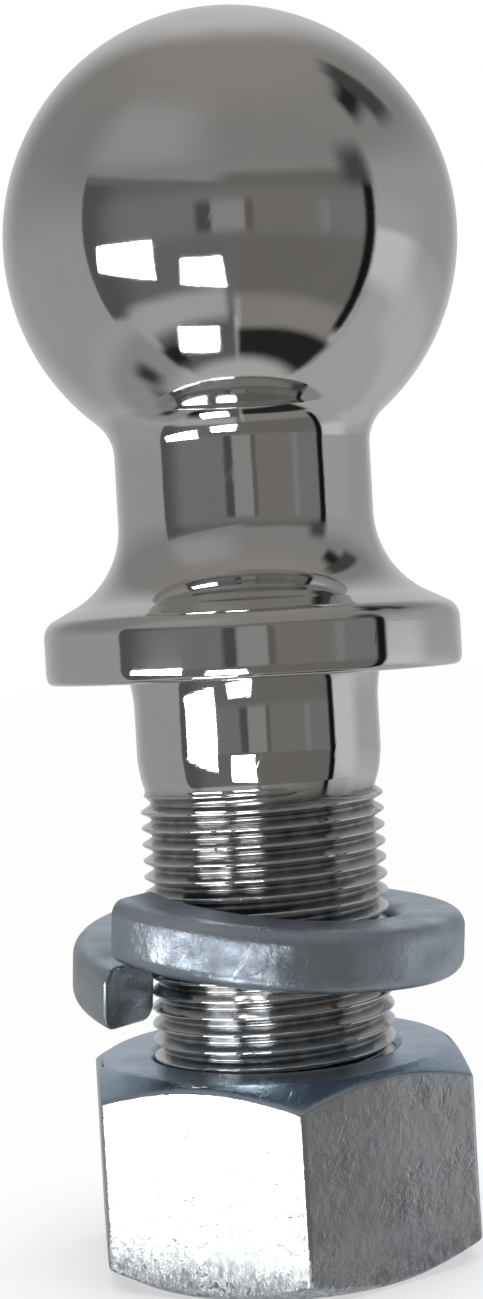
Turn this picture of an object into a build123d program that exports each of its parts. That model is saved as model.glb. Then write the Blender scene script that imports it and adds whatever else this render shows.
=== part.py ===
from build123d import *
import math
import os

# A gooseneck hitch ball: a one-piece forging (ball, neck, flange and threaded shank), a helical
# spring lock washer and a heavy hex nut. Millimetres, +Z up, with the origin on the shank's axis in
# the plane of the flange's underside, which is the face that seats on the hitch plate.

INCH = 25.4

# ball, neck and flange
BALL_RADIUS = 2.3125 * INCH / 2
BALL_HEIGHT = 56.17
NECK_RADIUS = 16.6
BALL_FILLET = 6.0
FLANGE_FILLET = 12.0
FLANGE_FILLET_HEIGHT = 20.25
FLANGE_RADIUS = 27.0
FLANGE_TOP_SLOPE = 24.0
RIM_ROUND = 2.6
RIM_HEIGHT = 6.0
RIM_BULGE = 10.0
RIM_BULGE_ANGLE = 15.0
RIM_LOWER_ROUND = 0.8

# shank
SHANK_RADIUS = 1.25 * INCH / 2
SHANK_LENGTH = 2.75 * INCH
SMOOTH_LENGTH = 9.5
SHOULDER_ROUND = 14.0
SHOULDER_SLOPE = 12.0
BLANK_RADIUS = 15.3
END_CHAMFER = 2.2

# 1-1/4-12 right-hand thread. The nut's pitch line stands outside the shank's by the running clearance
PITCH = INCH / 12
SHANK_PITCH_RADIUS = 15.11
SHANK_CREST_RADIUS = 15.83
SHANK_ROOT_RADIUS = 14.53
NUT_PITCH_RADIUS = 15.29
NUT_CREST_RADIUS = 14.80
NUT_ROOT_RADIUS = 16.02
FLANK_SLOPE = math.tan(math.radians(30))
# height of the shank's ridge at angle zero where its full thread stops, and the turns below that
THREAD_TOP = -16.07
THREAD_TURNS = 26
# over its last turn the ridge climbs on and sinks into the shank
TAIL_SINK = 1.5
TAIL_TURNS = 0.95
ROOT_RUNOUT_TOP = -13.33
ROOT_FULL_DEPTH = -15.93

# hex nut
NUT_TOP = -48.65
NUT_HEIGHT = 26.2
NUT_FLATS = 46.8
NUT_CORNER_ROUND = 0.8
NUT_FACE_RADIUS = 22.2
NUT_CHAMFER_SLOPE = math.tan(math.radians(30))
NUT_CORNER_ANGLE = -84.5
COUNTERSINK_RADIUS = 16.6
COUNTERSINK_DEPTH = 2.0

# lock washer: a left-hand spring cut at a slant, cocked on the shank
WASHER_INNER_RADIUS = 16.55
WASHER_OUTER_RADIUS = 25.4
WASHER_THICKNESS = 7.9
WASHER_ROUND = 2.0
WASHER_RISE = 9.0
WASHER_MIDDLE = -34.87
WASHER_LOW_END_ANGLE = -146.0
WASHER_GAP_ANGLE = 2.0
WASHER_CUT_SLANT = 18.0
WASHER_SIDE_TILT = 4.1
WASHER_FRONT_TILT = 4.2
WASHER_SIDE_SHIFT = -0.15

# room that tools need to pass right through a solid, and how far a ridge is sunk into its wall
OVERRUN = 5.0
RIDGE_SINK = 0.25


def polar(centre, radius, degrees):
    """The point at an angle on a circle in the plane of radius and height."""
    angle = math.radians(degrees)
    return centre[0] + radius * math.cos(angle), centre[1] + radius * math.sin(angle)


def turned(points):
    """The solid of revolution about Z of a closed outline of (radius, height) points."""
    outline = Plane.XZ * make_face(Polyline(*points, close=True))
    return revolve(outline, Axis.Z)


def ridge(outline, start, turns, cone_angle=0):
    """A right-hand helical ridge of the given (radius, height) outline, climbing from a height."""
    path = Helix(
        pitch=PITCH,
        height=turns * PITCH,
        radius=SHANK_PITCH_RADIUS,
        center=(0, 0, start),
        cone_angle=cone_angle,
    )
    section = Plane(origin=(0, 0, start), x_dir=(1, 0, 0), z_dir=(0, -1, 0))
    return sweep(section * make_face(Polyline(*outline, close=True)), path=path, is_frenet=True)


def ridge_outline(root, crest, pitch_radius):
    """A ridge's outline with 60 degree flanks, half a pitch wide at its pitch radius."""
    root_half = PITCH / 4 + FLANK_SLOPE * (pitch_radius - root)
    crest_half = PITCH / 4 + FLANK_SLOPE * (pitch_radius - crest)
    return [(root, -root_half), (crest, -crest_half), (crest, crest_half), (root, root_half)]


def ball_neck_and_flange():
    """The forging above the shank's thread: ball, waisted neck, flange and the plain shank."""
    ball = (0, BALL_HEIGHT)
    fillet_x = NECK_RADIUS + BALL_FILLET
    reach = BALL_RADIUS + BALL_FILLET
    ball_fillet = (fillet_x, BALL_HEIGHT - math.sqrt(reach**2 - fillet_x**2))
    meeting_angle = math.degrees(math.atan2(ball_fillet[1] - BALL_HEIGHT, fillet_x))
    flange_fillet = (NECK_RADIUS + FLANGE_FILLET, FLANGE_FILLET_HEIGHT)
    rim_round = (FLANGE_RADIUS - RIM_ROUND, RIM_HEIGHT)
    bulge_drop = math.radians(RIM_BULGE_ANGLE)
    bulge_height = RIM_LOWER_ROUND + (RIM_BULGE - RIM_LOWER_ROUND) * math.sin(bulge_drop)
    rim_bulge = (FLANGE_RADIUS - RIM_BULGE, bulge_height)
    lower_round = polar(rim_bulge, RIM_BULGE - RIM_LOWER_ROUND, -RIM_BULGE_ANGLE)
    top = (0, BALL_HEIGHT + BALL_RADIUS)
    waist = polar(ball, BALL_RADIUS, meeting_angle)
    slope_foot = polar(flange_fillet, FLANGE_FILLET, 270 - FLANGE_TOP_SLOPE)
    rim_top = polar(rim_round, RIM_ROUND, 90 - FLANGE_TOP_SLOPE)
    bulge_foot = polar(rim_bulge, RIM_BULGE, -RIM_BULGE_ANGLE)
    shoulder = (SHANK_RADIUS - SHOULDER_ROUND, -SMOOTH_LENGTH)
    shoulder_foot = polar(shoulder, SHOULDER_ROUND, -SHOULDER_SLOPE)
    with BuildSketch(Plane.XZ) as outline:
        with BuildLine():
            ThreePointArc(top, polar(ball, BALL_RADIUS, (90 + meeting_angle) / 2), waist)
            neck_arc_middle = polar(ball_fillet, BALL_FILLET, (meeting_angle + 360) / 2)
            ThreePointArc(waist, neck_arc_middle, (NECK_RADIUS, ball_fillet[1]))
            Line((NECK_RADIUS, ball_fillet[1]), (NECK_RADIUS, FLANGE_FILLET_HEIGHT))
            flange_arc_middle = polar(flange_fillet, FLANGE_FILLET, (450 - FLANGE_TOP_SLOPE) / 2)
            ThreePointArc((NECK_RADIUS, FLANGE_FILLET_HEIGHT), flange_arc_middle, slope_foot)
            Line(slope_foot, rim_top)
            rim_arc_middle = polar(rim_round, RIM_ROUND, (90 - FLANGE_TOP_SLOPE) / 2)
            ThreePointArc(rim_top, rim_arc_middle, (FLANGE_RADIUS, RIM_HEIGHT))
            Line((FLANGE_RADIUS, RIM_HEIGHT), (FLANGE_RADIUS, bulge_height))
            bulge_middle = polar(rim_bulge, RIM_BULGE, -RIM_BULGE_ANGLE / 2)
            ThreePointArc((FLANGE_RADIUS, bulge_height), bulge_middle, bulge_foot)
            lower_arc_middle = polar(lower_round, RIM_LOWER_ROUND, -(RIM_BULGE_ANGLE + 90) / 2)
            ThreePointArc(bulge_foot, lower_arc_middle, (lower_round[0], 0))
            Polyline(
                (lower_round[0], 0),
                (SHANK_RADIUS, 0),
                (SHANK_RADIUS, -SMOOTH_LENGTH),
            )
            shoulder_middle = polar(shoulder, SHOULDER_ROUND, -SHOULDER_SLOPE / 2)
            ThreePointArc((SHANK_RADIUS, -SMOOTH_LENGTH), shoulder_middle, shoulder_foot)
            Polyline(
                shoulder_foot,
                (BLANK_RADIUS, ROOT_RUNOUT_TOP),
                (SHANK_ROOT_RADIUS, ROOT_FULL_DEPTH),
                (SHANK_ROOT_RADIUS, -SHANK_LENGTH - OVERRUN),
                (0, -SHANK_LENGTH - OVERRUN),
                top,
            )
        make_face()
    return revolve(outline.sketch, Axis.Z)


def shank_thread():
    """The shank's thread, whose last turn fades into the plain shank."""
    outline = ridge_outline(SHANK_ROOT_RADIUS - RIDGE_SINK, SHANK_CREST_RADIUS, SHANK_PITCH_RADIUS)
    thread = ridge(outline, THREAD_TOP - THREAD_TURNS * PITCH, THREAD_TURNS)
    tail_cone = -math.degrees(math.atan(TAIL_SINK / PITCH))
    return thread + ridge(outline, THREAD_TOP, TAIL_TURNS, tail_cone)


def hitch_ball():
    """The whole forging, with the shank cut to length and chamfered."""
    end = -SHANK_LENGTH
    end_cut = turned(
        [
            (0, end),
            (SHANK_CREST_RADIUS - END_CHAMFER, end),
            (SHANK_CREST_RADIUS + OVERRUN, end + END_CHAMFER + OVERRUN),
            (SHANK_CREST_RADIUS + OVERRUN, end - 2 * OVERRUN),
            (0, end - 2 * OVERRUN),
        ]
    )
    return ball_neck_and_flange() + shank_thread() - end_cut


def lock_washer():
    """The spring lock washer, swept up a left-hand helix from its lower end and then cocked."""
    mean_radius = (WASHER_INNER_RADIUS + WASHER_OUTER_RADIUS) / 2
    width = (WASHER_OUTER_RADIUS - WASHER_INNER_RADIUS) / math.cos(math.radians(WASHER_CUT_SLANT))
    path = Helix(
        pitch=WASHER_RISE,
        height=WASHER_RISE * (360 - WASHER_GAP_ANGLE) / 360,
        radius=mean_radius,
        lefthand=True,
    )
    slant = math.radians(WASHER_CUT_SLANT)
    outward = (math.cos(slant), math.sin(slant), 0)
    cut_face = Plane(origin=(mean_radius, 0, 0), x_dir=outward, z_dir=(outward[1], -outward[0], 0))
    section = RectangleRounded(width, WASHER_THICKNESS, WASHER_ROUND)
    spring = sweep(cut_face * section, path=path, is_frenet=True)
    spring = Pos(0, 0, -WASHER_RISE / 2) * Rot(0, 0, WASHER_LOW_END_ANGLE) * spring
    cocked = Rot(WASHER_FRONT_TILT, 0, 0) * Rot(0, WASHER_SIDE_TILT, 0) * spring
    return Pos(WASHER_SIDE_SHIFT, 0, WASHER_MIDDLE) * cocked


def nut_blank():
    """The hexagon with both faces chamfered, before it is bored."""
    corner_radius = NUT_FLATS / 2 / math.cos(math.radians(30))
    hexagon = fillet(RegularPolygon(corner_radius, 6).vertices(), NUT_CORNER_ROUND)
    prism = extrude(Pos(0, 0, NUT_TOP) * Rot(0, 0, NUT_CORNER_ANGLE) * hexagon, -NUT_HEIGHT)
    bottom = NUT_TOP - NUT_HEIGHT
    reach = corner_radius + 1
    drop = (reach - NUT_FACE_RADIUS) * NUT_CHAMFER_SLOPE
    envelope = turned(
        [
            (0, NUT_TOP),
            (NUT_FACE_RADIUS, NUT_TOP),
            (reach, NUT_TOP - drop),
            (reach, bottom + drop),
            (NUT_FACE_RADIUS, bottom),
            (0, bottom),
        ]
    )
    return prism & envelope


def countersink(face, outward):
    """The cone that opens the bore at one face of the nut."""
    inner = COUNTERSINK_RADIUS - COUNTERSINK_DEPTH
    return turned(
        [
            (0, face - outward * COUNTERSINK_DEPTH),
            (inner, face - outward * COUNTERSINK_DEPTH),
            (COUNTERSINK_RADIUS + OVERRUN, face + outward * OVERRUN),
            (0, face + outward * OVERRUN),
        ]
    )


def tap():
    """The space inside the nut: a threaded rod in step with the shank's thread."""
    bottom = NUT_TOP - NUT_HEIGHT
    outline = ridge_outline(NUT_CREST_RADIUS - RIDGE_SINK, NUT_ROOT_RADIUS, NUT_PITCH_RADIUS)
    turns_to_top = math.floor((THREAD_TOP - NUT_TOP) / PITCH) - 1
    turns_to_bottom = math.ceil((THREAD_TOP - bottom) / PITCH) + 1
    groove = ridge(outline, THREAD_TOP - turns_to_bottom * PITCH, turns_to_bottom - turns_to_top)
    rod = Cylinder(
        NUT_CREST_RADIUS, NUT_HEIGHT + 4 * OVERRUN, align=(Align.CENTER, Align.CENTER, Align.MIN)
    )
    return Pos(0, 0, bottom - 2 * OVERRUN) * rod + groove


def hex_nut():
    """The hex nut with its real internal thread."""
    opened = nut_blank() - countersink(NUT_TOP, 1) - countersink(NUT_TOP - NUT_HEIGHT, -1)
    return opened - tap()


os.makedirs("parts", exist_ok=True)
export_step(hitch_ball(), "parts/hitch_ball.step")
export_step(lock_washer(), "parts/lock_washer.step")
export_step(hex_nut(), "parts/hex_nut.step")
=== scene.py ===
import bpy
import math
import random
from collections import namedtuple
from mathutils import Matrix, Vector, noise


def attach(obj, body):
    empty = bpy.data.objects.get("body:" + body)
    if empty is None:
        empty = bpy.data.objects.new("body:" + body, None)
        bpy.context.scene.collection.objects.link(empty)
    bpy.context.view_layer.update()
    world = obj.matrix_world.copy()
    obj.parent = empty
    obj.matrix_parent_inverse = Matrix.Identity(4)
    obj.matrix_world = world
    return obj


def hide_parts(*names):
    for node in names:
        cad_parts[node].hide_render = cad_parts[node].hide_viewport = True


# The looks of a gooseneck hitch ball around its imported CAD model: the chromed forging, the lock
# washer and the hex nut are rebuilt as fine meshes on the CAD's own dimensions. Lengths are in
# millimetres up to the moment a mesh is made, but the windows' distances are in metres; angles are
# in degrees unless a name says turns.

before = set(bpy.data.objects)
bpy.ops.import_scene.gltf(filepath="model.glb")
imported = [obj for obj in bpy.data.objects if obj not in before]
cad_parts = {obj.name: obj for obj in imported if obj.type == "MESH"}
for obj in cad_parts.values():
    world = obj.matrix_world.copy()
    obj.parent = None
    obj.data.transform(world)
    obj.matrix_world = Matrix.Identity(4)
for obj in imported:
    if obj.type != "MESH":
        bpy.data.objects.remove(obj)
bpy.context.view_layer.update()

MM = 0.001

# ---------------------------------------------------------------- dimensions shared with the CAD
BALL_HEIGHT = 56.17
NECK_RADIUS = 16.6
BALL_FILLET = 6.0
FLANGE_FILLET = 12.0
FLANGE_FILLET_HEIGHT = 20.25
FLANGE_RADIUS = 27.0
FLANGE_TOP_SLOPE = 24.0
RIM_ROUND = 2.6
RIM_HEIGHT = 6.0
RIM_LOWER_ROUND = 0.8
SHANK_RADIUS = 15.875
SHANK_LENGTH = 69.85
END_CHAMFER = 2.2
PITCH = 25.4 / 12
SHANK_CREST_RADIUS = 15.83
SHANK_ROOT_RADIUS = 14.53
SHANK_PITCH_RADIUS = 15.11
NUT_PITCH_RADIUS = 15.29
NUT_CREST_RADIUS = 14.80
NUT_ROOT_RADIUS = 16.02
FLANK_SLOPE = math.tan(math.radians(30))
THREAD_TOP = -16.07
TAIL_SINK = 1.0
TAIL_TURNS = 0.98
ROOT_RUNOUT_TOP = -13.33
ROOT_FULL_DEPTH = -15.93
NUT_TOP = -48.65
NUT_HEIGHT = 26.2
NUT_FLATS = 46.8
NUT_FACE_RADIUS = 22.2
NUT_CORNER_ANGLE = -84.5
NUT_CORNER_ROUND = 1.0
NUT_EDGE_ROUND = 0.5
COUNTERSINK_RADIUS = 16.6
WASHER_INNER_RADIUS = 16.55
WASHER_OUTER_RADIUS = 25.4
WASHER_THICKNESS = 7.9
WASHER_ROUND = 2.0
WASHER_RISE = 9.0
WASHER_CENTRE = (-0.15, 0.0, -34.87)
WASHER_LOW_END_ANGLE = -146.0
WASHER_SWEEP = 358.0
WASHER_CUT_SLANT = 18.0
WASHER_SIDE_TILT = 4.1
WASHER_FRONT_TILT = 4.2
WASHER_END_BEVEL = 0.45

# ---------------------------------------------------------------- where the looks depart from the CAD
BALL_RADIUS = 29.35
RIM_BULGE = 4.6
RIM_BULGE_ANGLE = 14.0
SMOOTH_LENGTH = 9.4
SHOULDER_SAG = 0.8
SHOULDER_SLOPES = (0.08, 0.2)
SHANK_FLARE = 0.03
SHANK_FLARE_FOOT = -4.0
SEAT_CORNER = 0.3
CREST_CROWN = 0.015
CREST_RIPPLE = 0.05
WASHER_WAVE = 0.05
NUT_WAVE = 0.06

# ---------------------------------------------------------------- how finely the meshes are cut
FORGING_COLUMNS = 168
FORGING_RISES = 27
RIDGE_OFFSETS = (0, 0.085, 0.14, 0.20, 0.78, 0.84, 0.93, PITCH / 2)
SHOULDER_RINGS = (-0.06, 0.0, 0.05, 0.2, 0.45, 0.7)
WASHER_CORNER_STEPS = 8
WASHER_FLAT_SHARES = (0.04, 0.35, 0.65, 0.96)
WASHER_END_STEPS = 5
WASHER_BODY_STEPS = 170
CUT_FACE_SCALES = (0.97, 0.5)
NUT_RISES = 12
NUT_COLUMN_OFFSETS = (0, 0.3, 0.62, 0.95, 1.1, 1.5, 3, 6, 10, 14, 18, 22, 26, 30)
GROOVE_OFFSETS = (0, 0.07, 0.108, 0.16, 0.76, 0.812, 0.87, PITCH / 2)
# the chamfer's meeting with the nut's sides, as (distance in from the side, distance past the chamfer)
EDGE_SOFTENING = ((0.85, 0.0), (0.42, 0.02), (0.25, 0.06), (0.11, 0.14), (0.03, 0.27), (0.0, 0.46))
NUT_FACE_RING = 19.5
NUT_SIDE_MARGIN = 3.4


# ---------------------------------------------------------------- mesh helpers
def link_mesh(name, points, faces, body, node):
    """Makes one piece from points in millimetres; it rides on a body and stands for a CAD node."""
    mesh = bpy.data.meshes.new(name)
    mesh.from_pydata([(x * MM, y * MM, z * MM) for x, y, z in points], [], faces)
    mesh.validate()
    mesh.shade_smooth()
    piece = bpy.data.objects.new(name, mesh)
    bpy.context.scene.collection.objects.link(piece)
    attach(piece, body)
    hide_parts(node)
    return piece


def arc(centre, radius, start, end, steps):
    """Points (radius, height) along an arc, both ends included."""
    found = []
    for i in range(steps + 1):
        angle = math.radians(start + (end - start) * i / steps)
        found.append((centre[0] + radius * math.cos(angle), centre[1] + radius * math.sin(angle)))
    return found


def straight(start, end, shares):
    """Points on a straight run at the given shares of its length."""
    return [(start[0] + (end[0] - start[0]) * s, start[1] + (end[1] - start[1]) * s) for s in shares]


class Builder:
    """Collects points and faces, and joins rings of points."""

    def __init__(self):
        self.points = []
        self.faces = []

    def add(self, x, y, z):
        self.points.append((x, y, z))
        return len(self.points) - 1

    def ring(self, radius, height, turns):
        """A level ring at the given turns round the axis. The radius may be a function of the turn."""
        found = []
        for turn in turns:
            r = radius(turn) if callable(radius) else radius
            z = height(turn) if callable(height) else height
            found.append(self.add(r * math.cos(math.tau * turn), r * math.sin(math.tau * turn), z))
        return found

    def face(self, *corners):
        kept = []
        for corner in corners:
            if corner not in kept:
                kept.append(corner)
        if len(kept) > 2:
            self.faces.append(kept)

    def bridge(self, upper, lower):
        """Joins two rings with outward faces, where the upper one comes first along the outline."""
        count = len(upper)
        for j in range(count):
            k = (j + 1) % count
            self.face(upper[j], lower[j], lower[k], upper[k])

    def cap(self, ring, height, upward):
        centre = self.add(0, 0, height)
        count = len(ring)
        for j in range(count):
            k = (j + 1) % count
            if upward:
                self.face(centre, ring[j], ring[k])
            else:
                self.face(centre, ring[k], ring[j])


def thread_strip(builder, bottom, rises, samples, start_turn, shares, radius_at, outward):
    """A threaded wall made as one spiral strip, a pitch tall, whose first and last turns are squeezed
    so that it begins and ends in level rings. Returns (bottom ring, top ring)."""
    columns = len(shares)
    last = (rises + 1) * columns
    rows = len(samples)
    found = {}

    def turn_of(k):
        return k // columns + shares[k % columns]

    def edge(turn):
        return bottom + PITCH * min(max(turn - 1, 0), rises)

    def key_of(k, m):
        if m == rows:
            k, m = k + columns, 0
        if k == 0 or (k == columns and m == 0):
            return (0, 0)
        if k == last or k == last + columns:
            return (last, 0)
        return (k, m)

    def point(k, m):
        key = key_of(k, m)
        if key not in found:
            k, m = key
            turn = turn_of(k)
            low = edge(turn)
            z = low + (edge(turn + 1) - low) * samples[m]
            angle = turn + start_turn
            r = radius_at(angle, z)
            found[key] = builder.add(r * math.cos(math.tau * angle), r * math.sin(math.tau * angle), z)
        return found[key]

    for k in range(last):
        for m in range(rows):
            corners = (point(k, m), point(k + 1, m), point(k + 1, m + 1), point(k, m + 1))
            builder.face(*(corners if outward else corners[::-1]))
    lower = [point(j, 0) for j in range(columns)]
    upper = [point(last + j, 0) for j in range(columns)]
    return lower, upper


def thread_phase(turn, z):
    """Distance in millimetres along the axis from the centre of the nearest ridge."""
    climb = (z - THREAD_TOP) / PITCH - turn
    nearest = round(climb)
    return (climb - nearest) * PITCH


# ---------------------------------------------------------------- the forging
def forging_outline():
    """The outline from the top of the ball down to the thread's run-out, as (radius, height)."""
    fillet_x = NECK_RADIUS + BALL_FILLET
    reach = BALL_RADIUS + BALL_FILLET
    fillet_z = BALL_HEIGHT - math.sqrt(reach**2 - fillet_x**2)
    meeting = math.degrees(math.atan2(fillet_z - BALL_HEIGHT, fillet_x))
    outline = arc((0, BALL_HEIGHT), BALL_RADIUS, 90, meeting, 66)[1:]
    outline += arc((fillet_x, fillet_z), BALL_FILLET, 180 + meeting, 180, 26)[1:]
    outline += straight((NECK_RADIUS, fillet_z), (NECK_RADIUS, FLANGE_FILLET_HEIGHT), (0.01, 0.5, 0.99))
    outline += arc((NECK_RADIUS + FLANGE_FILLET, FLANGE_FILLET_HEIGHT), FLANGE_FILLET, 180,
                   270 - FLANGE_TOP_SLOPE, 40)
    rim = arc((FLANGE_RADIUS - RIM_ROUND, RIM_HEIGHT), RIM_ROUND, 90 - FLANGE_TOP_SLOPE, 0, 9)
    outline += straight(outline[-1], rim[0], (0.06, 0.94))
    outline += rim
    reach = RIM_BULGE - RIM_LOWER_ROUND
    drop = math.radians(RIM_BULGE_ANGLE)
    bulge_centre = (FLANGE_RADIUS - RIM_BULGE, RIM_LOWER_ROUND + reach * math.sin(drop))
    bulge = arc(bulge_centre, RIM_BULGE, 0, -RIM_BULGE_ANGLE, 10)
    lower_centre = (bulge_centre[0] + reach * math.cos(drop), RIM_LOWER_ROUND)
    lower = arc(lower_centre, RIM_LOWER_ROUND, -RIM_BULGE_ANGLE, -90, 8)
    outline += straight(rim[-1], bulge[0], (0.05, 0.5, 0.95))
    outline += bulge
    outline += lower[1:]
    inner = flared_radius(-SEAT_CORNER) + SEAT_CORNER
    outline += straight(lower[-1], (inner, 0), (0.03, 0.5, 0.97))
    outline += arc((inner, -SEAT_CORNER), SEAT_CORNER, 90, 170, 5)
    for z in (-0.8, -1.3, -1.8, -2.4, -3.0, -3.6, SHANK_FLARE_FOOT, -7.0):
        outline.append((flared_radius(z), z))
    return outline


def flared_radius(z):
    """The smooth shank, which spreads a little where it runs into the flange."""
    return SHANK_RADIUS + SHANK_FLARE * max(z - SHANK_FLARE_FOOT, 0) ** 2


def shoulder_height(turn):
    """Where the smooth shank ends: a slightly oval line, lowest at the sides."""
    return -SMOOTH_LENGTH - SHOULDER_SAG * math.cos(math.tau * turn) ** 2


def core_radius(turn, z):
    """The shank under its thread: the convex shoulder, then the cone down to full root depth."""
    start = shoulder_height(turn)
    length = start - ROOT_RUNOUT_TOP
    low, high = SHOULDER_SLOPES
    below = min(max(start - z, 0), length)
    shoulder = SHANK_RADIUS - low * below - (high - low) / (2 * length) * below * below
    share = min(max((ROOT_RUNOUT_TOP - z) / (ROOT_RUNOUT_TOP - ROOT_FULL_DEPTH), 0), 1)
    return shoulder + (SHANK_ROOT_RADIUS - shoulder) * share


def ridge_radius(offset, crest, pitch_radius, root):
    """The radius of a 60 degree ridge at a distance along the axis from its centre."""
    crest_half = PITCH / 4 - FLANK_SLOPE * (crest - pitch_radius)
    flank = crest - (abs(offset) - crest_half) / FLANK_SLOPE
    rounded = crest - CREST_CROWN * (offset / crest_half) ** 2
    return max(min(crest, rounded, flank), root)


class Nicks:
    """Seeded dents along a thread's crest, each at a turn, with a half-width and a depth. They are
    filed by cell, so that only the dents near a point are looked at."""

    CELLS_PER_TURN = 64

    def __init__(self, seed, count, low, high, widths, depths):
        draw = random.Random(seed)
        self.cells = {}
        for _ in range(count):
            climb = draw.uniform(low, high)
            width = draw.uniform(*widths) / (math.tau * SHANK_CREST_RADIUS)
            depth = draw.uniform(*depths) * draw.random()
            first = math.floor((climb - width) * self.CELLS_PER_TURN)
            last = math.floor((climb + width) * self.CELLS_PER_TURN)
            for cell in range(first, last + 1):
                self.cells.setdefault(cell, []).append((climb, width, depth))

    def depth(self, climb):
        deepest = 0.0
        for centre, width, depth in self.cells.get(math.floor(climb * self.CELLS_PER_TURN), ()):
            share = abs(climb - centre) / width
            if share < 1:
                deepest = max(deepest, depth * (1 - share * share))
        return deepest


SHANK_NICKS = Nicks(11, 420, -25, 1, (0.4, 1.6), (0.05, 0.28))
START_NICKS = Nicks(5, 90, -1.6, 1, (0.2, 0.7), (0.1, 0.4))


def shank_radius(turn, z):
    """The shank's surface in the threaded stretch."""
    best = core_radius(turn, z)
    climb = (z - THREAD_TOP) / PITCH - turn
    for n in (math.floor(climb), math.floor(climb) + 1):
        along = turn + n
        if along > TAIL_TURNS:
            continue
        offset = (climb - n) * PITCH
        sunk = TAIL_SINK * max(along, 0)
        r = ridge_radius(offset, SHANK_CREST_RADIUS, SHANK_PITCH_RADIUS, SHANK_ROOT_RADIUS) - sunk
        height = (r - SHANK_PITCH_RADIUS) / (SHANK_CREST_RADIUS - SHANK_PITCH_RADIUS)
        if height > 0:
            r -= max(SHANK_NICKS.depth(along), START_NICKS.depth(along)) * height
            r -= CREST_RIPPLE * height * noise.noise((along * 9, offset * 3, 1.7)) ** 2
        best = max(best, r)
    return min(best, SHANK_CREST_RADIUS - END_CHAMFER + (z + SHANK_LENGTH))


def around(columns):
    return [j / columns for j in range(columns)]


def pitch_samples(offsets):
    """Shares of a pitch, from one ridge's centre to the next, at the given distances from each."""
    up = [o / PITCH for o in offsets]
    down = [1 - o for o in reversed(up) if 0 < o < 0.5]
    return up + down


def make_forging():
    shares = around(FORGING_COLUMNS)
    bottom = -SHANK_LENGTH
    start_turn = ((bottom - THREAD_TOP) / PITCH) % 1
    samples = pitch_samples(RIDGE_OFFSETS)
    b = Builder()
    lower, upper = thread_strip(
        b, bottom, FORGING_RISES, samples, start_turn, shares, shank_radius, outward=True)
    turns = [s + start_turn for s in shares]
    outline = forging_outline()
    rings = [b.ring(r, z, turns) for r, z in outline]
    b.cap(rings[0], BALL_HEIGHT + BALL_RADIUS, True)
    for one, two in zip(rings, rings[1:]):
        b.bridge(one, two)
    top = bottom + FORGING_RISES * PITCH
    for share in SHOULDER_RINGS:
        def height(turn, s=share):
            return shoulder_height(turn) + (top - shoulder_height(turn)) * s
        rings.append(b.ring(lambda turn: core_radius(turn, height(turn)), height, turns))
        b.bridge(rings[-2], rings[-1])
    b.bridge(rings[-1], upper)
    face_radius = SHANK_CREST_RADIUS - END_CHAMFER
    inner = [b.ring(face_radius * share, bottom, turns) for share in (0.985, 0.5)]
    b.bridge(lower, inner[0])
    b.bridge(inner[0], inner[1])
    b.cap(inner[1], bottom, False)
    return link_mesh("forging", b.points, b.faces, "ball_body", "hitch_ball")


# ---------------------------------------------------------------- the lock washer
def rounded_section(inset):
    """The washer's section as (across, up), pulled in by an inset all round."""
    width = (WASHER_OUTER_RADIUS - WASHER_INNER_RADIUS) / math.cos(math.radians(WASHER_CUT_SLANT))
    half_w = width / 2 - inset
    half_h = WASHER_THICKNESS / 2 - inset
    r = WASHER_ROUND - inset
    found = []
    for sx, sz, start in ((1, 1, 0), (-1, 1, 90), (-1, -1, 180), (1, -1, 270)):
        centre = (sx * (half_w - r), sz * (half_h - r))
        found += arc(centre, r, start, start + 90, WASHER_CORNER_STEPS)
    full = []
    for j, (x, z) in enumerate(found):
        nxt = found[(j + 1) % len(found)]
        full.append((x, z))
        if (j + 1) % (WASHER_CORNER_STEPS + 1) == 0:
            full += straight((x, z), nxt, WASHER_FLAT_SHARES)
    return full


def washer_path(mean_radius):
    """Stations along the coil as (degrees from its low end, inset), with both ends rounded over."""
    bevel = math.degrees(WASHER_END_BEVEL / mean_radius)
    end = []
    for step in range(WASHER_END_STEPS + 1):
        lean = math.radians(90 * step / WASHER_END_STEPS)
        end.append((bevel * (1 - math.cos(lean)), WASHER_END_BEVEL * (1 - math.sin(lean))))
    body = []
    for step in range(1, WASHER_BODY_STEPS):
        body.append((bevel + (WASHER_SWEEP - 2 * bevel) * step / WASHER_BODY_STEPS, 0.0))
    return end + body + [(WASHER_SWEEP - advance, inset) for advance, inset in reversed(end)]


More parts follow.
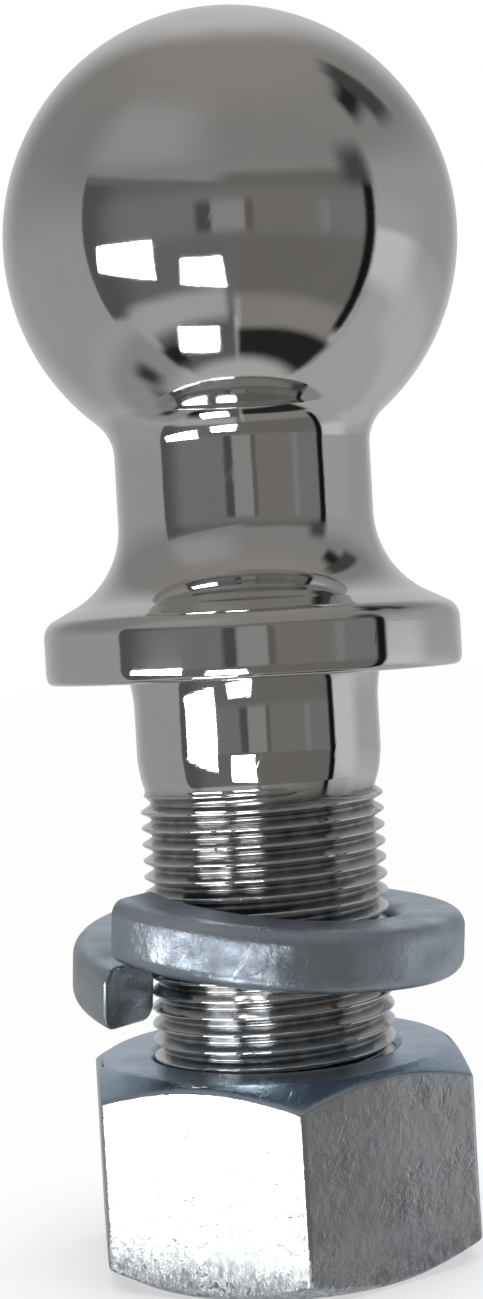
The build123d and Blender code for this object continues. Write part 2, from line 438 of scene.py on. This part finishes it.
def make_washer():
    mean_radius = (WASHER_INNER_RADIUS + WASHER_OUTER_RADIUS) / 2
    slant = math.radians(WASHER_CUT_SLANT)
    cocked = Matrix.Rotation(math.radians(WASHER_FRONT_TILT), 4, "X")
    cocked = cocked @ Matrix.Rotation(math.radians(WASHER_SIDE_TILT), 4, "Y")
    tilt = Matrix.Translation(Vector(WASHER_CENTRE)) @ cocked
    b = Builder()

    def ring(advance, inset, scale=1.0):
        turn = math.radians(WASHER_LOW_END_ANGLE - advance)
        lift = WASHER_RISE * (advance / 360 - 0.5)
        found = []
        for across, up in rounded_section(inset):
            across *= scale
            up *= scale
            x = mean_radius + across * math.cos(slant)
            y = across * math.sin(slant)
            wave = WASHER_WAVE * noise.noise((math.cos(turn) * 2, math.sin(turn) * 2, (across + up) * 0.15))
            place = tilt @ Vector((
                x * math.cos(turn) - y * math.sin(turn),
                x * math.sin(turn) + y * math.cos(turn),
                up + lift + wave,
            ))
            found.append(b.add(*place))
        return found

    rings = [ring(advance, inset) for advance, inset in washer_path(mean_radius)]
    count = len(rings[0])
    for one, two in zip(rings, rings[1:]):
        for j in range(count):
            k = (j + 1) % count
            b.face(one[j], one[k], two[k], two[j])
    cut_points = rings[0] + rings[-1]
    for edge, advance, first in ((rings[0], 0.0, True), (rings[-1], WASHER_SWEEP, False)):
        previous = edge
        for scale in CUT_FACE_SCALES:
            nxt = ring(advance, WASHER_END_BEVEL, scale)
            cut_points += nxt
            for j in range(count):
                k = (j + 1) % count
                if first:
                    b.face(nxt[j], nxt[k], previous[k], previous[j])
                else:
                    b.face(previous[j], previous[k], nxt[k], nxt[j])
            previous = nxt
        centre = b.add(*(sum(b.points[v][axis] for v in previous) / count for axis in range(3)))
        cut_points.append(centre)
        for j in range(count):
            k = (j + 1) % count
            if first:
                b.face(centre, previous[k], previous[j])
            else:
                b.face(centre, previous[j], previous[k])
    piece = link_mesh("washer", b.points, b.faces, "washer_body", "lock_washer")
    sheared = piece.data.attributes.new("sheared", "FLOAT", "POINT")
    for index in cut_points:
        sheared.data[index].value = 1.0
    return piece


# ---------------------------------------------------------------- the hex nut
def hex_radius(turn, apothem, corner_round):
    """The distance from the axis to a hexagon's side, whose corners are rounded."""
    angle = (math.degrees(turn * math.tau) - NUT_CORNER_ANGLE + 30) % 60 - 30
    centre = (apothem - corner_round) / math.cos(math.radians(30))
    tangent = math.degrees(math.atan2(corner_round / 2, centre + corner_round * math.cos(math.radians(30))))
    if abs(angle) >= tangent:
        return apothem / math.cos(math.radians(30 - abs(angle)))
    a = math.radians(angle)
    return centre * math.cos(a) + math.sqrt(corner_round**2 - (centre * math.sin(a)) ** 2)


def hex_shares():
    """Columns round the nut, closer together at its corners, as shares of a turn from a corner."""
    found = []
    for corner in range(6):
        for offset in NUT_COLUMN_OFFSETS:
            found.append(corner * 60 + offset)
        for offset in NUT_COLUMN_OFFSETS[-2:0:-1]:
            found.append(corner * 60 + 60 - offset)
    return [f / 360 for f in found]


def nut_bore_radius(turn, z):
    """The nut's inner wall: thread grooves, the crests left between them and the countersinks."""
    groove = ridge_radius(thread_phase(turn, z), NUT_ROOT_RADIUS, NUT_PITCH_RADIUS, NUT_CREST_RADIUS)
    top = COUNTERSINK_RADIUS - (NUT_TOP - z)
    base = COUNTERSINK_RADIUS - (z - (NUT_TOP - NUT_HEIGHT))
    return max(groove, top, base)


def make_nut():
    shares = hex_shares()
    start_turn = (NUT_CORNER_ANGLE / 360) % 1
    bottom_face = NUT_TOP - NUT_HEIGHT
    edge_depth = (NUT_HEIGHT - NUT_RISES * PITCH) / 2
    bottom = bottom_face + edge_depth
    first_phase = ((bottom - THREAD_TOP) / PITCH - start_turn) % 1
    marks = []
    for offset in GROOVE_OFFSETS:
        marks += [(offset / PITCH - first_phase) % 1, (-offset / PITCH - first_phase) % 1]
    samples = sorted(set(round(m, 6) for m in marks))
    if samples[0] > 0:
        samples = [0.0] + samples
    b = Builder()
    lower, upper = thread_strip(
        b, bottom, NUT_RISES, samples, start_turn, shares, nut_bore_radius, outward=False)
    turns = [s + start_turn for s in shares]
    apothem = NUT_FLATS / 2
    slope = math.tan(math.radians(30))

    def side(turn):
        return hex_radius(turn, apothem, NUT_CORNER_ROUND)

    def waviness(turn, z):
        a = math.tau * turn
        return NUT_WAVE * noise.noise((math.cos(a) * 1.6, math.sin(a) * 1.6, z * 0.07))

    def chamfer_drop(radius):
        return (radius - NUT_FACE_RADIUS) * slope

    rings = [upper]
    for radius in (COUNTERSINK_RADIUS - 0.15, COUNTERSINK_RADIUS - 0.03, COUNTERSINK_RADIUS + 0.06):
        depth = max(COUNTERSINK_RADIUS - radius, 0.0) + (0.02 if radius < COUNTERSINK_RADIUS else 0)
        rings.append(b.ring(radius, NUT_TOP - depth, turns))
    for radius in (COUNTERSINK_RADIUS + 0.25, NUT_FACE_RING, NUT_FACE_RADIUS - 0.7):
        rings.append(b.ring(radius, NUT_TOP, turns))
    for share in (-0.35, 0.0, 0.35, 0.7):
        radius = NUT_FACE_RADIUS + share
        drop = 0.0 if share < 0 else chamfer_drop(radius)
        soften = 0.1 * max(0.0, 1 - abs(share) / 0.7)
        rings.append(b.ring(radius, NUT_TOP - drop - soften * 0.5, turns))

    def upper_edge(inset, extra):
        """A ring near the upper chamfer's meeting with the sides."""
        return b.ring(
            lambda turn: side(turn) - inset + waviness(turn, 0),
            lambda turn: NUT_TOP - chamfer_drop(side(turn)) + inset * slope - extra,
            turns,
        )

    for inset, extra in EDGE_SOFTENING:
        rings.append(upper_edge(inset, extra))
    for share in (0.12, 0.3, 0.5, 0.7, 0.88):
        rings.append(b.ring(
            lambda turn, s=share: side(turn) + waviness(turn, s * 20) * math.sin(math.pi * s),
            lambda turn, s=share: NUT_TOP - NUT_SIDE_MARGIN - (NUT_HEIGHT - 2 * NUT_SIDE_MARGIN) * s,
            turns,
        ))

    def lower_edge(inset, extra):
        """A ring near the lower chamfer's meeting with the sides."""
        return b.ring(
            lambda turn: side(turn) - inset,
            lambda turn: bottom_face + chamfer_drop(side(turn)) - inset * slope + extra,
            turns,
        )

    for inset, extra in reversed(EDGE_SOFTENING):
        rings.append(lower_edge(inset, extra))
    for radius in (NUT_FACE_RADIUS + 0.7, NUT_FACE_RADIUS + 0.35, NUT_FACE_RADIUS):
        rings.append(b.ring(radius, bottom_face + chamfer_drop(radius) + 0.01, turns))
    for radius in (NUT_FACE_RADIUS - 0.35, NUT_FACE_RADIUS - 0.7, NUT_FACE_RING, COUNTERSINK_RADIUS + 0.25):
        rings.append(b.ring(radius, bottom_face, turns))
    rings.append(b.ring(COUNTERSINK_RADIUS + 0.03, bottom_face + 0.01, turns))
    rings.append(b.ring(COUNTERSINK_RADIUS - 0.12, bottom_face + 0.14, turns))
    rings.append(lower)
    for one, two in zip(rings, rings[1:]):
        b.bridge(one, two)
    return link_mesh("nut", b.points, b.faces, "nut_body", "hex_nut")


# ---------------------------------------------------------------- node helpers
class Nodes:
    """Short calls for a node tree."""

    def __init__(self, tree):
        self.tree = tree
        tree.nodes.clear()

    def new(self, kind, **settings):
        node = self.tree.nodes.new(kind)
        for key, value in settings.items():
            setattr(node, key, value)
        return node

    def link(self, source, target):
        self.tree.links.new(source, target)

    def feed(self, socket, value):
        if isinstance(value, bpy.types.NodeSocket):
            self.link(value, socket)
        elif value is not None:
            socket.default_value = value

    def math(self, operation, *values, clamp=False):
        node = self.new("ShaderNodeMath", operation=operation, use_clamp=clamp)
        for socket, value in zip(node.inputs, values):
            self.feed(socket, value)
        return node.outputs[0]

    def mix(self, factor, one, two, blend="MIX"):
        node = self.new("ShaderNodeMix", data_type="RGBA", blend_type=blend)
        self.feed(node.inputs[0], factor)
        self.feed(node.inputs[6], one)
        self.feed(node.inputs[7], two)
        return node.outputs[2]

    def remap(self, value, low, high, to_low=0.0, to_high=1.0, smooth=False):
        node = self.new("ShaderNodeMapRange", clamp=True)
        if smooth:
            node.interpolation_type = "SMOOTHSTEP"
        self.feed(node.inputs[0], value)
        for socket, number in zip(node.inputs[1:5], (low, high, to_low, to_high)):
            self.feed(socket, number)
        return node.outputs[0]

    def noise(self, place, scale, detail=3.0, roughness=0.5, stretch=None, distortion=0.0):
        if stretch:
            mapping = self.new("ShaderNodeMapping")
            self.link(place, mapping.inputs[0])
            mapping.inputs[3].default_value = stretch
            place = mapping.outputs[0]
        node = self.new("ShaderNodeTexNoise")
        self.link(place, node.inputs["Vector"])
        node.inputs["Scale"].default_value = scale
        node.inputs["Detail"].default_value = detail
        node.inputs["Roughness"].default_value = roughness
        node.inputs["Distortion"].default_value = distortion
        return node.outputs["Fac"]

    def bump(self, height, strength, distance, normal=None):
        node = self.new("ShaderNodeBump")
        node.inputs["Strength"].default_value = strength
        node.inputs["Distance"].default_value = distance
        self.link(height, node.inputs["Height"])
        if normal is not None:
            self.link(normal, node.inputs["Normal"])
        return node.outputs["Normal"]


def new_material(name):
    material = bpy.data.materials.new(name)
    material.use_nodes = True
    return material, Nodes(material.node_tree)


def scratches(n, place, scale, angle, seed, width=0.012, share=0.5):
    """Fine straight scratches: sheets of long drawn-out noise cut the surface in lines, which a
    patchy mask breaks into short lengths."""
    mapping = n.new("ShaderNodeMapping", vector_type="TEXTURE")
    n.link(place, mapping.inputs[0])
    mapping.inputs[1].default_value = (seed * 0.13, seed * 0.07, seed * 0.11)
    mapping.inputs[2].default_value = angle
    mapping.inputs[3].default_value = (1.0, 33.0, 33.0)
    streaks = n.new("ShaderNodeTexNoise")
    n.link(mapping.outputs[0], streaks.inputs["Vector"])
    streaks.inputs["Scale"].default_value = scale
    streaks.inputs["Detail"].default_value = 1.0
    off = n.math("ABSOLUTE", n.math("SUBTRACT", streaks.outputs["Fac"], 0.5))
    line = n.remap(off, 0.0, width, 1.0, 0.0)
    patch = n.noise(place, 110 + 23 * seed, 2.0, 0.5, (1.0, 0.8, 0.9))
    low = 0.72 - 0.3 * share
    return n.math("MULTIPLY", line, n.remap(patch, low, low + 0.1))


# ---------------------------------------------------------------- materials
def chrome_material():
    material, n = new_material("chrome")
    place = n.new("ShaderNodeTexCoord").outputs["Object"]
    shader = n.new("ShaderNodeBsdfPrincipled")
    out = n.new("ShaderNodeOutputMaterial")
    n.link(shader.outputs[0], out.inputs[0])
    shader.inputs["Metallic"].default_value = 1.0
    split = n.new("ShaderNodeSeparateXYZ")
    n.link(place, split.inputs[0])
    x, y, z = split.outputs
    flat = n.new("ShaderNodeCombineXYZ")
    n.link(x, flat.inputs[0])
    n.link(y, flat.inputs[1])
    length = n.new("ShaderNodeVectorMath", operation="LENGTH")
    n.link(flat.outputs[0], length.inputs[0])
    radius = length.outputs["Value"]
    # Painted shade in the thread grooves: the colour darkens from near the crests down to the roots, broken
    # into patches, and the same mask makes the grooves a little rougher.
    threaded = n.remap(z, (THREAD_TOP + 2.6) * MM, (THREAD_TOP + 0.8) * MM, 0.0, 1.0)
    groove = n.remap(radius, SHANK_ROOT_RADIUS * MM, (SHANK_CREST_RADIUS - 0.12) * MM, 1.0, 0.0)
    groove_shade_mask = n.math("MULTIPLY", threaded, groove)
    haze = n.noise(place, 60, 4.0)
    colour = n.mix(n.remap(haze, 0.35, 0.65), (0.735, 0.73, 0.72, 1), (0.775, 0.77, 0.76, 1))
    groove_shade_patches = n.noise(place, 500, 3.0)
    dark = n.math("MULTIPLY", groove_shade_mask, n.remap(groove_shade_patches, 0.3, 0.7, 0.55, 0.95))
    colour = n.mix(dark, colour, (0.20, 0.20, 0.205, 1))
    n.link(colour, shader.inputs["Base Color"])
    fine = n.noise(place, 900, 3.0)
    rough = n.remap(haze, 0.3, 0.7, 0.035, 0.07)
    wear = scratches(n, place, 500, (0.4, 0.2, 0.9), 3, 0.012, 0.4)
    turning = n.noise(place, 260, 2.0, 0.5, (0.02, 0.02, 14.0))
    smooth_shank = n.math("MULTIPLY", n.remap(z, 0.0, -0.001), n.remap(z, -0.0155, -0.0135))
    rough = n.math("ADD", rough, n.math("MULTIPLY", wear, 0.1))
    rough = n.math("ADD", rough, n.math("MULTIPLY", groove_shade_mask, 0.14))
    n.link(rough, shader.inputs["Roughness"])
    orange_peel = n.noise(place, 220, 3.0)
    normal = n.bump(orange_peel, 0.05, 0.0002)
    normal = n.bump(fine, 0.03, 0.00005, normal)
    normal = n.bump(wear, 0.06, 0.00004, normal)
    normal = n.bump(n.math("MULTIPLY", turning, smooth_shank), 0.25, 0.00001, normal)
    n.link(normal, shader.inputs["Normal"])
    return material


def zinc_material(name, seed, base, tint, painted_top_shading, rough_low, rough_high, worn_foot, scratched, pitted):
    """Zinc plate: cloudy colours with a faint film and stains, rubbed and pitted from worn_foot up,
    with scratches. Faces marked as sheared are darker. Faces that look up are painted in a colour of
    their own: painted light and shade on the top."""
    material, n = new_material(name)
    coordinates = n.new("ShaderNodeTexCoord")
    place = coordinates.outputs["Object"]
    shader = n.new("ShaderNodeBsdfPrincipled")
    out = n.new("ShaderNodeOutputMaterial")
    n.link(shader.outputs[0], out.inputs[0])
    shader.inputs["Metallic"].default_value = 1.0
    split = n.new("ShaderNodeSeparateXYZ")
    n.link(coordinates.outputs["Normal"], split.inputs[0])
    clouds = n.noise(place, 70 + seed, 5.0, 0.6)
    speck = n.noise(place, 1400, 2.0, 0.6)
    colour = n.mix(n.remap(clouds, 0.3, 0.7), base, tint)
    # Painted light and shade on the top: faces that look up shift towards the top colour.
    colour = n.mix(n.remap(split.outputs[2], 0.25, 0.75, 0.0, 0.85), colour, painted_top_shading)
    film = n.noise(place, 45 + seed, 3.0, 0.5, None, 0.6)
    colour = n.mix(n.remap(film, 0.54, 0.68, 0.0, 0.3), colour, (0.56, 0.58, 0.80, 1))
    colour = n.mix(n.remap(film, 0.42, 0.3, 0.0, 0.22), colour, (0.66, 0.72, 0.62, 1))
    colour = n.mix(n.remap(speck, 0.62, 0.8, 0.0, 0.5), colour, (0.30, 0.32, 0.35, 1))
    stain = n.noise(place, 130, 5.0, 0.65, (1.0, 1.0, 0.45))
    colour = n.mix(n.remap(stain, 0.55, 0.75, 0.0, 0.35), colour, (0.30, 0.31, 0.33, 1))
    cut = n.new("ShaderNodeAttribute", attribute_name="sheared").outputs["Fac"]
    colour = n.mix(n.math("MULTIPLY", cut, 0.75), colour, (0.24, 0.27, 0.31, 1))
    # rubbed and pitted towards the foot, and rubbed bright along the edges
    height = n.new("ShaderNodeSeparateXYZ")
    n.link(place, height.inputs[0])
    foot = n.remap(height.outputs[2], (worn_foot + 8.0) * MM, (worn_foot + 0.5) * MM)
    chips = n.noise(place, 1300, 5.0, 0.8, (1.0, 1.0, 0.5))
    rubbed = n.math("MULTIPLY", foot, n.remap(chips, 0.44, 0.60))
    colour = n.mix(n.math("MULTIPLY", rubbed, 0.8), colour, (0.22, 0.24, 0.27, 1))
    sharp = n.remap(n.new("ShaderNodeNewGeometry").outputs["Pointiness"], 0.52, 0.60)
    edge = n.math("MULTIPLY", sharp, n.remap(n.noise(place, 700, 3.0, 0.7), 0.42, 0.62))
    colour = n.mix(n.math("MULTIPLY", edge, 0.6), colour, (0.78, 0.80, 0.83, 1))
    n.link(colour, shader.inputs["Base Color"])
    lines = scratches(n, place, 260, (0.2, 0.5, 0.3), seed, 0.010, scratched)
    for k, angle in enumerate(((1.0, 0.1, 1.3), (0.5, 1.2, 0.2), (1.5, 0.6, 0.0))):
        more = scratches(n, place, 200 + 40 * k, angle, seed + 5 + k, 0.009, scratched)
        lines = n.math("MAXIMUM", lines, more)
    rough = n.remap(n.noise(place, 160, 4.0), 0.3, 0.7, rough_low, rough_high)
    rough = n.math("ADD", rough, n.math("MULTIPLY", lines, -0.08))
    rough = n.math("ADD", rough, n.math("MULTIPLY", rubbed, 0.2))
    n.link(rough, shader.inputs["Roughness"])
    grain = n.noise(place, 2600, 3.0, 0.6)
    pits = n.noise(place, 500, 4.0, 0.65)
    normal = n.bump(pits, pitted, 0.0003)
    normal = n.bump(grain, 0.16, 0.00006, normal)
    normal = n.bump(lines, 0.25, -0.00008, normal)
    normal = n.bump(rubbed, 0.6, -0.00012, normal)
    n.link(normal, shader.inputs["Normal"])
    return material


# ---------------------------------------------------------------- the studio
CAMERA_PLACE = (0, -265.00, 5.60)
CAMERA_YAW = -0.462
CAMERA_PITCH = 0.969
CAMERA_ROLL = -3.252
CAMERA_LENS = 56.373
CAMERA_SHIFT = (0.0030, 0.0130)
FLOOR_HALF = 3000.0
FLOOR_GAP = 0.05
WINDOW_LIGHT = 14.0
# each window's corners as azimuth, elevation and distance in metres from the middle of the part
WINDOWS = {
    "window_left": ((-70.6, -11.9, 4.0), (-39.9, -21.3, 0.84), (-38.0, -3.9, 0.84), (-68.5, -2.4, 4.0)),
    "window_right": ((-27.2, -25.7, 0.84), (-3.0, -29.6, 0.84), (-4.8, -15.2, 0.84), (-25.0, -14.2, 0.84)),
    "window_low": ((-47.2, -56.0, 0.84), (-16.3, -61.6, 0.84), (-11.2, -49.2, 0.84), (-38.2, -45.0, 0.84)),
}
WINDOW_EYE = 28.0

# A soft-edged patch of light or shade in the sky, in degrees of azimuth and elevation. Its grey has a
# value and a warmth; soft is the half-width of its left, right, low and high edges; lean is how much
# the low and the high edge climb to the right. Each card is painted over those before it.
Card = namedtuple("Card", "left right low high value warmth soft lean", defaults=((0.0, 0.0),))
SKY_CARDS = (
    # pale cards high up, and tall ones at the right
    Card(-75, -15, 28, 58, 0.34, 0.01, (14, 20, 6, 10)),
    Card(78, 146, -66, 26, 0.36, 0, (2, 12, 4, 10)),
    Card(77, 108, -1, 10, 0.40, 0, (1, 12, 1, 4)),
    Card(80, 150, -66, -1, 0.42, 0, (2, 16, 4, 3)),
    Card(100, 150, -32, -10, 0.50, 0, (8, 10, 5, 6)),
    Card(77, 104, -20, 0, 0.62, 0, (1, 10, 6, 2)),
    # pale and dark patches low down, under the wall
    Card(-60, 0, -69, -42, 0.12, 0, (3, 2, 4, 4)),
    Card(-135, -62, -66, -40, 0.30, 0, (8, 6, 5, 6)),
    Card(-100, -84, -60, -50, 0.04, 0, (6, 6, 4, 4)),
    Card(-128, -104, -69, -59, 0.12, 0, (8, 8, 4, 4), (0.3, 0.3)),
    Card(4, 74, -56, -33, 0.25, 0.05, (2, 3, 3, 6)),
    Card(2, 78, -68, -51, 0.02, 0, (3, 4, 4, 2.5), (0, 0.05)),
    Card(-64, -48, -64, -53, 0.02, 0, (3, 3, 3, 3)),
    # the dark wall in front, to the right and to the left, and a paler band across it
    Card(-4, 74, -36, 22, 0.155, 0.05, (8, 1.5, 4, 3)),
    Card(-76, 1, -36, 21.5, 0.155, 0.02, (0.8, 4, 2, 1.5), (-0.26, -0.1)),
    Card(-76, -58, -34, 21.5, 0.10, 0.02, (0.8, 10, 2, 1.5), (-0.26, -0.1)),
    Card(-62, 72, -6, 14, 0.195, 0.01, (12, 2, 5, 5)),
    # upright stripes in the band
    Card(12, 42, -5, 10, 0.185, 0.05, (2, 1, 4, 4)),
    Card(-16, -9, -5, 9, 0.08, 0, (2, 0.8, 3, 3)),
    Card(-8, 8, -5, 9, 0.275, 0, (0.8, 0.8, 3, 3)),
    Card(8, 12, -5, 9, 0.12, 0.15, (0.8, 1.2, 3, 3)),
    Card(45, 50, -5, 9, 0.235, 0.02, (1, 1, 3, 3)),
    # a pale strip under the wall, and small dark patches at its right edge and high up
    Card(-66, -4, -47, -32, 0.42, 0, (5, 3, 5, 4)),
    Card(60, 76, 16, 31, 0.07, 0, (6, 4, 4, 6)),
    Card(70, 76, -44, 17, 0.008, 0, (1.5, 1.0, 3, 3)),
    Card(84, 106, 42, 53, 0.02, 0, (4, 4, 4, 4), (0.2, 0.2)),
    Card(102, 120, 36, 58, 0.06, 0, (4, 4, 4, 4)),
)


def sky(tree):
    """Soft studio light by direction: azimuth 0 is towards the camera's side, + is to its right."""
    n = Nodes(tree)
    place = n.new("ShaderNodeTexCoord").outputs["Generated"]
    split = n.new("ShaderNodeSeparateXYZ")
    n.link(place, split.inputs[0])
    x, y, z = split.outputs
    azimuth = n.math("MULTIPLY", n.math("ARCTAN2", x, n.math("MULTIPLY", y, -1.0)), 180 / math.pi)
    elevation = n.math("MULTIPLY", n.math("ARCSINE", z), 180 / math.pi)
    from_back = n.math("SUBTRACT", 180.0, n.math("ABSOLUTE", azimuth))

    def painted(under, card):
        """The light under a card with the card painted over it."""
        soft = card.soft
        across = n.math("SUBTRACT", azimuth, (card.left + card.right) / 2)
        bottom = n.math("SUBTRACT", elevation, n.math("MULTIPLY", across, card.lean[0]))
        top = n.math("SUBTRACT", elevation, n.math("MULTIPLY", across, card.lean[1]))
        mask = n.remap(azimuth, card.left - soft[0], card.left + soft[0], smooth=True)
        for source, start, end in (
            (azimuth, card.right + soft[1], card.right - soft[1]),
            (bottom, card.low - soft[2], card.low + soft[2]),
            (top, card.high + soft[3], card.high - soft[3]),
        ):
            mask = n.math("MULTIPLY", mask, n.remap(source, start, end, smooth=True))
        return n.mix(mask, under, grey(card.value, card.warmth))

    def grey(value, warmth=0.0):
        return (value * (1 + warmth), value, value * (1 - warmth), 1)

    light = n.mix(n.remap(elevation, 0.0, 30.0, smooth=True), grey(0.36), grey(0.25, 0.03))
    light = n.mix(n.remap(elevation, 45.0, 75.0, smooth=True), light, grey(0.27, 0.06))
    light = n.mix(n.remap(elevation, -25.0, -50.0, smooth=True), light, grey(0.45))
    behind = n.remap(from_back, 50.0, 8.0, smooth=True)
    behind = n.math("MULTIPLY", behind, n.remap(elevation, 84.0, 58.0, smooth=True))
    light = n.mix(behind, light, grey(0.57, -0.01))
    for card in SKY_CARDS:
        light = painted(light, card)

    seen = n.new("ShaderNodeLightPath").outputs["Is Camera Ray"]
    lit = n.new("ShaderNodeBackground")
    n.link(light, lit.inputs[0])
    white = n.new("ShaderNodeBackground")
    white.inputs[0].default_value = (1, 1, 1, 1)
    either = n.new("ShaderNodeMixShader")
    n.link(seen, either.inputs[0])
    n.link(lit.outputs[0], either.inputs[1])
    n.link(white.outputs[0], either.inputs[2])
    out = n.new("ShaderNodeOutputWorld")
    n.link(either.outputs[0], out.inputs[0])


def make_windows():
    """Bright panes low on the left, which the camera sees only as reflections."""
    material, n = new_material("window")
    glow = n.new("ShaderNodeEmission")
    glow.inputs[0].default_value = (0.97, 0.985, 1.0, 1)
    glow.inputs[1].default_value = WINDOW_LIGHT
    out = n.new("ShaderNodeOutputMaterial")
    n.link(glow.outputs[0], out.inputs[0])
    for name, corners in WINDOWS.items():
        points = []
        for azimuth, elevation, distance in corners:
            a, e = math.radians(azimuth), math.radians(elevation)
            points.append((
                distance * math.sin(a) * math.cos(e),
                -distance * math.cos(a) * math.cos(e),
                distance * math.sin(e) + WINDOW_EYE * MM,
            ))
        mesh = bpy.data.meshes.new(name)
        mesh.from_pydata(points, [], [tuple(range(len(points)))])
        mesh.materials.append(material)
        pane = bpy.data.objects.new(name, mesh)
        bpy.context.scene.collection.objects.link(pane)
        pane.visible_camera = False
        pane.visible_shadow = False


def make_floor():
    """A pale floor under the nut: a clear sheet that only takes a soft shade over the white
    backdrop, so that a nut screwed down past it still shows. It does stop light from below."""
    level = (NUT_TOP - NUT_HEIGHT - FLOOR_GAP) * MM
    half = FLOOR_HALF * MM
    corners = [(x * half, y * half, level) for x, y in ((-1, -1), (1, -1), (1, 1), (-1, 1))]
    mesh = bpy.data.meshes.new("floor")
    mesh.from_pydata(corners, [], [(0, 1, 2, 3)])
    floor = bpy.data.objects.new("floor", mesh)
    bpy.context.scene.collection.objects.link(floor)
    material, n = new_material("floor")
    contact = n.new("ShaderNodeAmbientOcclusion", samples=8)
    contact.inputs["Distance"].default_value = 0.03
    open_share = n.remap(contact.outputs["AO"], 0.25, 0.95)
    shade = n.mix(open_share, (0.62, 0.62, 0.63, 1), (0.985, 0.985, 0.985, 1))
    veil = n.new("ShaderNodeBsdfTransparent")
    n.link(shade, veil.inputs[0])
    out = n.new("ShaderNodeOutputMaterial")
    stop = n.new("ShaderNodeBsdfDiffuse")
    stop.inputs[0].default_value = (0, 0, 0, 1)
    either = n.new("ShaderNodeMixShader")
    n.link(n.new("ShaderNodeLightPath").outputs["Is Shadow Ray"], either.inputs[0])
    n.link(veil.outputs[0], either.inputs[1])
    n.link(stop.outputs[0], either.inputs[2])
    n.link(either.outputs[0], out.inputs[0])
    mesh.materials.append(material)
    floor.visible_glossy = False
    floor.visible_diffuse = False
    return floor


def make_camera():
    data = bpy.data.cameras.new("camera")
    data.sensor_fit = "AUTO"
    data.sensor_width = 36.0
    data.lens = CAMERA_LENS
    data.shift_x, data.shift_y = CAMERA_SHIFT
    data.clip_start = 0.01
    camera = bpy.data.objects.new("camera", data)
    yaw, pitch, roll = (math.radians(a) for a in (CAMERA_YAW, CAMERA_PITCH, CAMERA_ROLL))
    forward = Vector((math.sin(yaw) * math.cos(pitch), math.cos(yaw) * math.cos(pitch), -math.sin(pitch)))
    right = Vector((math.cos(yaw), -math.sin(yaw), 0))
    up = right.cross(forward)
    rolled_right = math.cos(roll) * right + math.sin(roll) * up
    rolled_up = -math.sin(roll) * right + math.cos(roll) * up
    rotation = Matrix((rolled_right, rolled_up, -forward)).transposed()
    camera.matrix_world = Matrix.Translation(Vector(CAMERA_PLACE) * MM) @ rotation.to_4x4()
    bpy.context.scene.collection.objects.link(camera)
    bpy.context.scene.camera = camera
    return camera


make_camera()
forging = make_forging()
washer = make_washer()
nut = make_nut()
forging.data.materials.append(chrome_material())
washer.data.materials.append(zinc_material(
    "zinc_washer",
    seed=2,
    base=(0.44, 0.51, 0.58, 1),
    tint=(0.64, 0.71, 0.79, 1),
    # the washer's top is painted lighter: painted light
    painted_top_shading=(0.58, 0.67, 0.76, 1),
    rough_low=0.30,
    rough_high=0.58,
    worn_foot=WASHER_CENTRE[2] - WASHER_RISE - WASHER_THICKNESS,
    scratched=0.8,
    pitted=0.5,
))
nut.data.materials.append(zinc_material(
    "zinc_nut",
    seed=9,
    base=(0.60, 0.62, 0.64, 1),
    tint=(0.70, 0.72, 0.74, 1),
    # the nut's top is painted darker and bluer: painted shade
    painted_top_shading=(0.46, 0.60, 0.74, 1),
    rough_low=0.22,
    rough_high=0.36,
    worn_foot=NUT_TOP - NUT_HEIGHT,
    scratched=0.55,
    pitted=0.30,
))
make_floor()
make_windows()
world = bpy.data.worlds.new("studio")
bpy.context.scene.world = world
world.use_nodes = True
sky(world.node_tree)
bpy.context.scene.view_settings.view_transform = "Standard"
